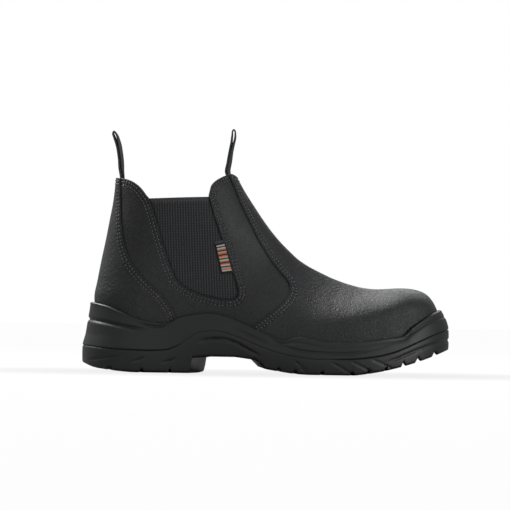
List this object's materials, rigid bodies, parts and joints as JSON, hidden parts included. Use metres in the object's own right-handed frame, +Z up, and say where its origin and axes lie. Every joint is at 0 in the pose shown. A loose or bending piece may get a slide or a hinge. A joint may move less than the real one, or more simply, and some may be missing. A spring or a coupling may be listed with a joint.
{
  "type": "side gore work boot",
  "caption": "Black leather side gore work boot with a domed safety toe, elastic side panels, webbing pull loops and a moulded sole with a heel, an arch and main tread grooves.",
  "frame": {"origin": "middle of the footprint's bounding box, at floor level", "axes": "+X from the heel to the toe, +Y to the inner (medial) side of this right boot, +Z up from the floor; the outer side faces -Y"},
  "size_m": [0.3048, 0.1103, 0.2029],
  "materials": {
    "leather_black": "fine-grained satin full-grain leather",
    "elastic_black": "ribbed elastic webbing",
    "midsole_black": "smooth moulded polyurethane",
    "outsole_black": "dense moulded polyurethane with tread",
    "footbed_grey": "fabric-topped footbed",
    "webbing_black": "woven webbing"
  },
  "bodies": {
    "root": {"outsole": "outsole_black", "midsole": "midsole_black", "upper": "leather_black", "gore_lateral": "elastic_black", "gore_medial": "elastic_black", "insole": "footbed_grey", "pull_loop_front": "webbing_black", "pull_loop_rear": "webbing_black"}
  },
  "joints": []
}
